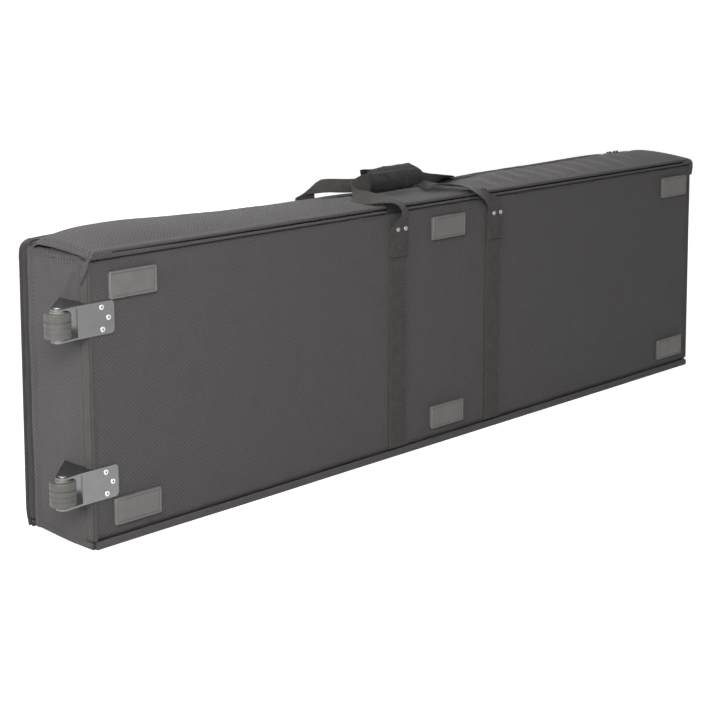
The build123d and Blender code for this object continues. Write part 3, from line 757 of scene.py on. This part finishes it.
def bars(name, rows, sides):
    """Small bars, each four rings of sides points, joined into one object."""
    faces = []
    for first in range(0, len(rows) * sides, 4 * sides):
        for start in range(first, first + 3 * sides, sides):
            for j in range(sides):
                a, b = start + j, start + (j + 1) % sides
                faces.append((a, b, b + sides, a + sides))
        faces += [tuple(first + j for j in range(sides - 1, -1, -1)),
                  tuple(first + 3 * sides + j for j in range(sides))]
    return smooth_object(name, np.concatenate(rows), faces)


def zip_half(name, body, side, node):
    """Tape and coil on one side of the zip, -1 for the case and 1 for the lid."""
    line = zip_line(side * 5.3, -1.0, 5.0)
    stations = np.concatenate([line, np.tile([0.0, 4.9, 0.0], (len(line), 1))], 1)
    tape = ribbon(f"{name}_tape", stations, 1.1, 5.0, 0.4, 10)
    dress(tape, body, zip_tape, (node,))
    loops = zip_line(side * 1.1, 1.0, 2.5)
    across = np.array([0.0, 1.0, 0.0])
    angle = np.linspace(0, 2 * np.pi, 8, endpoint=False)
    rings = []
    for centre, ahead in zip(loops, heading(loops)):
        out = np.cross(ahead, -across)
        for offset, size in ((-1.45, 0.55), (-0.8, 1.0), (0.6, 1.0), (1.3, 0.7)):
            rings.append(centre + ahead * (side * 0.6) + across * offset
                         + np.outer(np.cos(angle), ahead) * 0.78 * size
                         + np.outer(np.sin(angle), out) * 0.85 * size)
    dress(bars(f"{name}_coil", rings, 8), body, coil_nylon)
    return len(loops)


print("zip loops per side:", zip_half("tray_zip", "tray", -1, "tray_zip_stringer"),
      zip_half("lid_zip", "lid", 1, "lid_zip_stringer"))

# %% [markdown]
# ## Lid piping
# A rolled binding closes the seam between the lid panel and its walls. It goes up one end, over the
# top and down the other end, so it is one long ribbon with a nearly round section, in a darker
# grosgrain than the front seams.

# %% Lid piping
rows = [(wheel_end + 0.4, lid_face(wheel_end, z) - 0.2, z, 0, 3.4, 0) for z in np.linspace(3, 374, 26)]
rows += [(wheel_end + 2.6, back_y + 0.4, 384, 0, 3.3, 0), (wheel_end + 8, back_y, 388.5, 0, 3.2, 0)]
rows += [(x, back_y - 0.6, crown_at(x) - 4.2, 0, 3.1, 0) for x in np.linspace(wheel_end + 26, far_end - 26, 70)]
rows += [(far_end - 8, back_y, 388.5, 0, 3.2, 0), (far_end - 2.6, back_y + 0.2, 384, 0, 3.3, 0)]
rows += [(far_end - 0.4, back_y + 0.2, z, 0, 3.4, 0) for z in np.linspace(374, 3, 26)]
piping = ribbon("lid_piping", rows, 5.0, 3.0, 0.8, 14, 0.05)
dress(piping, "lid", lid_edge)
print("lid piping points", len(piping.data.vertices))

# %% [markdown]
# ## Webbing on the floor panel
# Two straps run down the floor panel from the handle to the base seam, sewn along both edges. Under
# each handle strap a webbing end goes over the lip of the top seam, coloured near-black as painted
# shade for the shadow under the strap's arch. The same short stitches are set along the wheel-end
# tape and under the top roll.

# %% Floor webbing
def thread_rows(name, rows, body, out, pitch=4.2, length=3.2, radius=0.42):
    """Short stitches along several lines, standing out of the cloth along out."""
    out = np.array(out, float)
    angle = np.linspace(0, 2 * np.pi, 6, endpoint=False)
    rings = []
    for row in rows:
        line = through(row, pitch)
        for p, ahead in zip(line, heading(line)):
            side = np.cross(out, ahead)
            for place, size in ((-0.5, 0.35), (-0.25, 1.0), (0.25, 1.0), (0.5, 0.35)):
                rings.append(p + ahead * place * length + np.outer(np.cos(angle), side) * radius * size
                             + np.outer(np.sin(angle), out) * radius * size)
    return dress(bars(name, rings, 6), body, thread)


seams = []
over_lip_path = ((0.6, 6.5), (-2.6, 9.5), (-4.4, 13), (-4.2, 17), (-1.5, 20.4), (3.0, 21.6))
for word, shift, wide in (("left", 13, 16), ("right", 31, 9)):
    low, high = corners(f"floor_webbing_{word}")
    mid = (low[0] + high[0]) / 2
    half = (high[0] - low[0]) / 2
    run = straight((mid, front_y - 1.0, low[2] - 2), (mid, front_y - 1.0, high[2] - 21), (half, 0, 0))
    band = ribbon(f"floor_strap_{word}", run, 1.9, 3.0, 0.12)
    # A webbing end over the lip, near-black as painted shade under the strap's arch.
    shade_patch = ribbon(f"strap_shade_patch_{word}", [(mid - shift, front_y + dy, high[2] + dz, wide, 0, 0)
                                         for dy, dz in over_lip_path], 1.6, 1.5, 0.12)
    dress(shade_patch, "tray", painted_shade_tape)
    dress(band, "tray", webbing, (f"floor_webbing_{word}",))
    seams += [[(mid + side * (half - 2.5), front_y - 1.95, z) for z in (low[2], 308)] for side in (-1, 1)]
thread_rows("floor_strap_stitches", seams, "tray", (0, -1, 0))
sewn = [[(wheel_end - 1.9, front_y + dy, z0), (wheel_end - 1.9, front_y + dy, z1)]
        for dy in (2.0, 13.2) for z0, z1 in ((16, 64), (112, 281), (329, 348))]
thread_rows("end_tape_stitches", sewn, "tray", (-1, 0, 0), 4.6, 2.8, 0.4)
under = [[(x, front_y + 1.7, 378.4) for x in run] for run in ((-655, -142), (-90, 88), (142, 672))]
thread_rows("top_seam_stitches", under, "tray", (0, -1, 0), 4.4, 2.9, 0.5)
print("straps sewn with", len(seams), "rows")

# %% [markdown]
# ## Skid pads
# Six pressed rubber pads are sewn on so that the case slides on its floor panel. Each has a raised
# border, a groove that the stitches lie in and a flat middle. Rings of a rounded rectangle, each
# with its own inset and height, make that section all the way round.

# %% Skid pads
def rounded_ring(width, height, radius, inset, per_corner=6):
    """A rounded rectangle, drawn in by inset."""
    w, h, r = width / 2 - inset, height / 2 - inset, max(radius - inset, 0.3)
    ring = []
    for cx, cz, a0 in ((w - r, h - r, 0), (-w + r, h - r, 90), (-w + r, -h + r, 180), (w - r, -h + r, 270)):
        for i in range(per_corner):
            a = math.radians(a0 + 90 * i / (per_corner - 1))
            ring.append((cx + r * math.cos(a), cz + r * math.sin(a)))
    return np.array(ring)


PAD_THICK = 5.2              # the section below is drawn for a pad this thick
pad_section = [(0.0, 0.0), (-0.15, 2.2), (0.1, 4.4), (0.7, 5.2), (1.5, 5.45), (2.5, 5.4), (2.9, 4.9),
               (3.2, 4.5), (3.6, 4.5), (3.9, 4.8), (4.4, 5.0), (7.0, 5.05), (12.0, 5.1), (16.0, 5.1)]
pad_rows = []
for name in pads:
    low, high = corners(name)
    centre = (low + high) / 2
    size = high - low
    rings = []
    for inset, rise in pad_section:
        ring = rounded_ring(size[0], size[2], 2.6, inset)
        level = np.full(len(ring), front_y + 0.4 - rise * size[1] / PAD_THICK)
        rings.append(np.stack([centre[0] + ring[:, 0], level, centre[2] + ring[:, 1]], -1))
    points = np.array(rings)
    pad = surface(f"{name}_rubber", points, points[..., ::2], closed=True, caps=True)
    dress(pad, "tray", pad_rubber, (name,))
    w, h = size[0] / 2 - 3.4, size[2] / 2 - 3.4
    y = front_y - 4.35
    box = [(-w, -h), (w, -h), (w, h), (-w, h), (-w, -h)]
    pad_rows += [[(centre[0] + a[0], y, centre[2] + a[1]), (centre[0] + b[0], y, centre[2] + b[1])]
                 for a, b in zip(box, box[1:])]
thread_rows("skid_pad_stitches", pad_rows, "tray", (0, -1, 0), 3.4, 2.4, 0.35)
print("pads made:", len(pads))

# %% [markdown]
# ## Handle loops
# Four ends of webbing come up from their rivets, two over the front edge and two over the back
# edge. Each turns towards the grip, and where it nears the grip it stands on its edge. The stations
# give the middle of the strap and half its width as a vector, so the strap may twist as it goes.
# The front pair hangs between the case and the grip, and the rear pair between the lid and its
# loop; each strap is baked in place on no body. A stitched box with a cross in it holds each end
# by its rivets.

# %% Handle loops
strap_paths = {
    "tray_strap_left": [
        (-115, -72.4, 311, 20, 0, 0), (-115, -72.4, 335, 20, 0, 0), (-115, -73.0, 354, 20, 0, 0),
        (-116, -77.5, 367, 17, 3, 1), (-120, -85, 377, 14, 5, 1), (-127, -90, 388, 12, 7, 0),
        (-136, -88, 397, 12, 6, -1), (-144, -75, 401, 14, 1, 2), (-150, -55, 400.5, 14, 0, 6),
        (-153, -35, 400.5, 14, 3, 8), (-150, -14, 402, 11, 8, 10.5), (-140, -1, 406, 6, 8, 14),
        (-124, 1, 411.5, 2, 4, 15.5), (-107, -1, 416, 0, 3, 14.5), (-90, -3, 418.5, 0, 1, 12.5)],
    "tray_strap_right": [
        (115, -72.4, 311, 20, 0, 0), (115, -72.4, 335, 20, 0, 0), (114, -73.0, 354, 20, 0, 0),
        (109, -76, 365, 20, 1, -1), (97, -80, 375, 21, 1, -1.5), (81, -81.5, 384, 22, 2, -2.5),
        (66, -76, 393, 22, 5, -3), (55, -61, 399.5, 20, 10, -4), (48, -42, 401.5, 17, 13, -4),
        (41, -23, 401.5, 14, 14, -3), (33, -6, 401, 11, 15, 1), (25, 3, 402, 5, 12, 7),
        (12, 1, 408, 1, 6, 11), (-2, -2, 415.5, 0, 3, 12.5), (-14, -3, 418, 0, 1, 12.5)],
    "lid_strap_left": [
        (-158.5, 70.5, 311, 20, 0, 0), (-158.5, 70.5, 335, 20, 0, 0), (-158.5, 70.9, 356, 20, 0, 0),
        (-161, 73, 376, 19.5, 0, 0), (-165, 75.5, 387, 20, 0, 1), (-166, 76.6, 395, 21, 0, 5),
        (-161, 76.6, 401.5, 21, -1, 11), (-152, 73, 406.5, 16, -4, 11.5), (-142, 63, 409, 8, -4, 11),
        (-134, 52, 410, 3, -1, 10.5), (-127, 42, 410, 2, 1, 10.5), (-116, 26, 410.5, 1, 1, 10.5),
        (-105, 13, 412.5, 0, 1, 10.5), (-91, 9.5, 418, 0, 0, 9.8)],
    "lid_strap_right": [
        (158.5, 70.5, 311, 20, 0, 0), (158.5, 70.5, 335, 20, 0, 0), (158.5, 70.9, 356, 20, 0, 0),
        (158.5, 73, 374, 20, 0, 0), (158, 74.6, 385, 20, -1, 0), (153, 70.5, 393.5, 18, -8, 0),
        (141, 58, 396.5, 13, -13, 1.5), (123, 43, 398.5, 7, -12, 4), (103, 30, 400.5, 3, -7, 6),
        (72, 19, 404, 1, -4, 8), (43, 11, 408, 0, -2, 9), (20, 9.5, 413.5, 0, -1, 9.5),
        (2, 9.5, 418, 0, 0, 9.5)],
}
for name, stations in strap_paths.items():
    follow = 0.3 if name == "lid_strap_left" else 0.85       # its sharp turn keeps the width upright
    strap = ribbon(f"{name}_webbing", stations, 2.0, 2.2, 0.12, 20, 0.0, follow)
    dress(strap, None, webbing, (name,))
    body = "tray" if name.startswith("tray") else "lid"
    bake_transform(strap)
for body, out, y, spacing in (("tray", -1, front_y - 4.0, TRAY_STRAP), ("lid", 1, back_y + 2.05, LID_STRAP)):
    crossed = []
    for side in (-1, 1):
        x0, x1, z0, z1 = side * spacing - 16, side * spacing + 16, 314, 340
        ring = [(x0, z0), (x1, z0), (x1, z1), (x0, z1), (x0, z0), (x1, z1), (x1, z0), (x0, z1)]
        crossed += [[(x, y, z) for x, z in ends] for ends in zip(ring, ring[1:])]
    thread_rows(f"{body}_strap_stitches", crossed, body, (0, out, 0))
print("loops laid:", len(strap_paths))

# %% [markdown]
# ## Padded grip
# The grip is a rectangle of cloth quilted over thin foam. It wraps both loops and closes on itself
# along the rear, so the rear part is a flap. Each part is drawn as an open band with real thickness
# and carried along the grip, and this drawn section gives the grip its shape. A cloth simulation
# then makes it slightly uneven. Its pressure doesn't fill the band: with no foam or quilting inside,
# the cloth draws together and loses volume. So each point keeps the direction it was moved in, and
# its distance is cut to a small limit.

# %% Padded grip
def offset_band(section, thick):
    """A closed outline from an open line (y, z) and the same line moved inwards."""
    line = through([(0, y, z) for y, z in section], 2.2)[:, 1:]
    ahead = heading(line)
    inward = np.stack([-ahead[:, 1], ahead[:, 0]], -1)
    share = np.linspace(0, 1, len(line))[:, None]
    body = thick * (0.3 + 0.7 * np.sin(np.pi * share) ** 0.4)
    tip0 = line[0] + inward[0] * thick * 0.22 - ahead[0] * 0.9
    tip1 = line[-1] + inward[-1] * thick * 0.22 + ahead[-1] * 0.9
    return np.concatenate([line, [tip1], (line + inward * body)[::-1], [tip0]])


def padded_band(name, section, thick, x0, x1, shape):
    """Carries the outline from x0 to x1, thinned at both sewn edges."""
    outline = offset_band(section, thick)
    count = len(outline)
    core = (outline + outline[::-1][np.arange(count) - 1]) / 2
    xs = np.concatenate([[x0, x0 + 0.8, x0 + 2.4], np.linspace(x0 + 5, x1 - 5, 36), [x1 - 2.4, x1 - 0.8, x1]])
    rings = []
    for x in xs:
        full = 1 - 0.7 * (1 - ease(min(x - x0, x1 - x) / 7.0)) ** 1.4
        ring = core + (outline - core) * full
        rings.append(shape(np.full(count, x), ring[:, 0], ring[:, 1]))
    points = np.array(rings)
    flat = np.stack([points[..., 0], np.tile(walked(outline), (len(xs), 1))], -1)
    return surface(name, points, flat, closed=True, caps=True)


def unsettle(piece, pressure, limit, frames=20):
    """Runs cloth simulation on a closed piece and cuts each point's move to limit mm.

    Gives the largest move that the solver made before the cut, in mm.
    """
    rest = np.array([v.co for v in piece.data.vertices], float)
    sim = piece.modifiers.new("foam", "CLOTH")
    sim.settings.use_pressure = True
    sim.settings.uniform_pressure_force = pressure
    sim.settings.effector_weights.gravity = 0.0
    sim.settings.tension_stiffness = 20
    sim.settings.bending_stiffness = 2
    sim.point_cache.frame_start, sim.point_cache.frame_end = 1, frames
    for frame_number in range(1, frames + 1):
        bpy.context.scene.frame_set(frame_number)
    solved = piece.evaluated_get(bpy.context.evaluated_depsgraph_get()).data
    moved = np.array([v.co for v in solved.vertices], float)
    piece.modifiers.remove(sim)
    bpy.context.scene.frame_set(1)
    shift = moved - rest
    length = np.linalg.norm(shift, axis=1)[:, None]
    shift *= np.minimum(1, limit * MM / np.maximum(length, 1e-9))
    piece.data.vertices.foreach_set("co", (rest + shift).ravel())
    piece.data.update()
    return float(length.max() / MM)


grip_low, grip_high = corners("grip_wrap")
grip_x0, grip_x1 = grip_low[0] + 3, grip_high[0] - 18
wrap_section = [(11.2, 437.0), (5, 435.4), (-2, 431.8), (-8.2, 427), (-12.0, 421.5), (-12.8, 416.5),
                (-11.4, 411), (-8.0, 405.8), (-3, 402.0), (3, 400.4), (11.0, 400.6)]
flap_section = [(11.9, 400.4), (16.5, 402.5), (19.3, 408), (20, 416), (19.4, 424), (17.4, 431.5),
                (14.6, 436.4), (11.9, 437.6)]


def grip_lie(x, y, z):
    """The grip's slight sag and bow, its sideways taper, a slight rise along it and gentle unevenness."""
    s = (x - grip_x0) / (grip_x1 - grip_x0)
    middle = (grip_x0 + grip_x1) / 2
    x = middle + (x - middle) * (1 + 0.19 * ease((8 - y) / 20)) + 1.5 * ease((8 - y) / 20)
    y = y + 1.2 * np.sin(np.pi * s) - 0.6
    z = z - 1.3 * np.sin(np.pi * s) + 2.6 * s - 1.6 + 0.5 * uneven(x, y, 45, 31)
    return np.stack([x, y, z], -1)


def flap_lie(x, y, z):
    """The flap lies with the grip, and its free upper corner curls over."""
    points = grip_lie(x, y, z)
    corner = ease((grip_x0 + 26 - x) / 26) * ease((z - 418) / 20)
    points[:, 0] -= 12.0 * corner ** 1.5
    points[:, 1] = points[:, 1] + (13.5 - points[:, 1]) * 0.75 * corner ** 2
    points[:, 2] += 1.5 * corner
    return points


PRESSURE, LIMIT = 4.0, 1.6   # the solver's pressure, and the most that a point moves in mm
wrap = padded_band("grip_wrap_cloth", wrap_section, 4.6, grip_x0, grip_x1, grip_lie)
flap = padded_band("grip_flap_cloth", flap_section, 4.2, grip_x0, grip_x1, flap_lie)
for piece, body, node in ((wrap, "handle", "grip_wrap"), (flap, "grip_flap", "grip_flap")):
    moved = unsettle(piece, PRESSURE, LIMIT)
    piece.data.materials.append(grip_cloth)
    smooth = piece.modifiers.new("sewn_smooth", "SUBSURF")
    smooth.levels = smooth.render_levels = 1
    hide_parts(node)
    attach(piece, body)
    print(piece.name, "moved up to", round(moved, 1), "mm in the solver, cut to", LIMIT)
for name, body, y0, half in (("tray_loop_core", "handle", -3.2, 12.5), ("lid_loop_core", "lid_loop", 9.6, 9.5)):
    run = straight((grip_x0 + 2, y0, 418.5), (grip_x1 - 2, y0, 418.5), (0, 0, half))
    core = ribbon(f"{name}_webbing", run, 5.0, 3.0, 0.3)
    dress(core, body, webbing, (name,))

# %% [markdown]
# ## Linings
# Inside, every wall is lined foam. Each lining is a shallow padded panel that swells between its
# edges and turns down to its seam. A flat binding covers the cut edges round the opening.

# %% Linings
FOAM = 8.0                   # thickness of the foam behind every lining


def lining(name, body, u_range, v_range, place, nodes, seed, flip=False):
    """place turns cloth position u, v and the foam's rise into x, y, z."""
    u, v = grid(u_range, v_range, 6.0)
    edge = np.minimum.reduce([u - u_range[0], u_range[1] - u, v - v_range[0], v_range[1] - v])
    rise = FOAM * (0.35 + 0.65 * np.sqrt(np.clip(1 - (1 - np.clip(edge / 9, 0, 1)) ** 2, 0, 1)))
    rise = rise + 0.5 * ease(edge / 40) * (1 + uneven(u, v, 140, seed))
    panel = cloth_panel(name, place(u, v, rise), (u, v), flip)
    dress(panel, body, lining_cloth, nodes, 1.2)
    return panel


in0, in1, deep = wheel_end + WALL, far_end - WALL, front_y + WALL
long_run, high_run, deep_run = (in0 + 7, in1 - 7), (13.5, 379.5), (deep + 7, zip_y - 0.8)
lining("floor_lining", "tray", long_run, high_run,
       lambda u, v, h: (u, deep + h, v), ("floor_panel_foam",), 41)
lining("top_lining", "tray", long_run, deep_run,
       lambda u, v, h: (u, v, top_z - WALL - h), ("top_wall_foam",), 42)
lining("base_lining", "tray", long_run, (deep + 7, back_y - 2.0),
       lambda u, v, h: (u, v, WALL + h), ("base_wall_foam",), 43, True)
lining("wheel_end_lining", "tray", deep_run, high_run,
       lambda u, v, h: (in0 + h, u, v), ("wheel_end_foam",), 44, True)
lining("far_end_lining", "tray", deep_run, high_run,
       lambda u, v, h: (in1 - h, u, v), ("far_end_foam",), 45)
lining("lid_lining", "lid", (in0 + 0.5, in1 - 0.5), (lid_low + 0.5, 386),
       lambda u, v, h: (u, back_y - WALL - h, v), ("lid_foam",), 46, True)


def rim_band(name, body, y, depth, inner_z, thick):
    """Flat tape over the cut edge: up one end, along the top and down the other."""
    d = depth / 2
    rows = [(wheel_end + d, y, z, d, 0, 0) for z in np.linspace(inner_z, top_z - depth, 14)]
    rows += [(wheel_end + d * 1.3, y, top_z - d * 1.3, d * 0.8, 0, -d * 0.8)]
    rows += [(x, y, top_z - d + zip_lift(x), 0, 0, -d)
             for x in np.linspace(wheel_end + depth + 3, far_end - depth - 3, 40)]
    rows += [(far_end - d * 1.3, y, top_z - d * 1.3, -d * 0.8, 0, -d * 0.8)]
    rows += [(far_end - d, y, z, -d, 0, 0) for z in np.linspace(top_z - depth, inner_z, 14)]
    band = ribbon(name, rows, thick, 4.0, 0.3, 12)
    return dress(band, body, binding)


rim_band("tray_rim_tape", "tray", zip_y - 0.95, 15.0, 8.0, 1.2)
rim_band("lid_rim_tape", "lid", zip_y + 1.05, 7.0, lid_low + 0.5, 1.0)
rows = straight((wheel_end + 1, back_y - 2.3, 7.6), (far_end - 1, back_y - 2.3, 7.6), (0, 0, 6.8))
edge_tape = ribbon("base_rim_tape", rows, 1.0, 4.0, 0.3, 12)
dress(edge_tape, "tray", binding)
print("linings and rims in")

# %% [markdown]
# ## Studio
# A pale floor and soft light: a key at the front left, one at the wheel end, one overhead, and two
# weak ones for the front and the far end. The white behind the case comes from the world and the
# floor as the camera and glossy surfaces see them, not from more light on the case.

# %% Camera, lights and floor
camera = bpy.data.objects.new("camera", bpy.data.cameras.new("camera"))
bpy.context.scene.collection.objects.link(camera)
camera.data.lens, camera.data.sensor_width = 85.23, 36.0
camera.data.shift_x, camera.data.shift_y = 0.0, -0.1389
camera.location = (-2.0072, -1.7525, 0.7561)
camera.rotation_euler = (math.radians(79.92), 0.0, math.radians(-47.06))
camera.data.clip_end = 200
bpy.context.scene.camera = camera


def lamp(name, place, aim, size, power):
    """A round soft light that the camera doesn't see."""
    light = bpy.data.lights.new(name, "AREA")
    light.shape, light.size, light.energy = "DISK", size, power
    made = bpy.data.objects.new(name, light)
    bpy.context.scene.collection.objects.link(made)
    made.location = place
    made.rotation_euler = (Vector(aim) - Vector(place)).to_track_quat("-Z", "Y").to_euler()
    made.visible_camera = False
    return made


lamp("key_softbox", (-1.6, -1.3, 1.25), (-0.5, 0, 0.25), 1.0, 32)
lamp("side_softbox", (-2.6, -0.35, 0.9), (-0.7, 0, 0.2), 0.9, 21)
lamp("top_softbox", (-0.9, 0.3, 2.4), (-0.5, 0, 0.3), 1.6, 18)
lamp("front_fill", (0.6, -3.0, 1.6), (0.1, 0, 0.2), 1.8, 0.7)
lamp("rear_fill", (1.9, 1.7, 0.5), (0.4, 0, 0.2), 1.4, 16)


def seen_rays(tree):
    """1 for what the camera sees directly, in a gloss or through glass, and 0 for light on the case."""
    rays = add(tree, "ShaderNodeLightPath").outputs
    seen = maths(tree, "MAXIMUM", rays["Is Camera Ray"], rays["Is Glossy Ray"])
    return maths(tree, "MAXIMUM", seen, rays["Is Transmission Ray"])


world = bpy.data.worlds.new("studio")
bpy.context.scene.world = world
world.use_nodes = True
tree = world.node_tree
strength = add(tree, "ShaderNodeMapRange", {"To Min": 0.13, "To Max": 1.0}, {0: seen_rays(tree)}).outputs[0]
tree.links.new(strength, tree.nodes["Background"].inputs["Strength"])
tree.nodes["Background"].inputs["Color"].default_value = (1, 1, 1, 1)

FLOOR_REACH = 60000
floor_x, floor_y = grid((-FLOOR_REACH, FLOOR_REACH), (-FLOOR_REACH, FLOOR_REACH), 30000)
floor = cloth_panel("floor", (floor_x, floor_y, np.full_like(floor_x, -0.3)), (floor_x, floor_y), flip=True)
paper, tree, shader = finish("seamless_paper", 0.9, 1.5)
shader.inputs["Base Color"].default_value = linear("#d2d2d2")
shader.inputs["Specular IOR Level"].default_value = 0.1
glow = add(tree, "ShaderNodeEmission", {"Color": (1, 1, 1, 1), "Strength": 0.89})
both = add(tree, "ShaderNodeAddShader", {}, {0: shader.outputs[0], 1: glow.outputs[0]})
pick = add(tree, "ShaderNodeMixShader", {}, {0: seen_rays(tree), 1: shader.outputs[0], 2: both.outputs[0]})
tree.links.new(pick.outputs[0], tree.nodes["Material Output"].inputs["Surface"])
floor.data.materials.append(paper)
bpy.context.scene.view_settings.view_transform = "Standard"
print("studio ready")
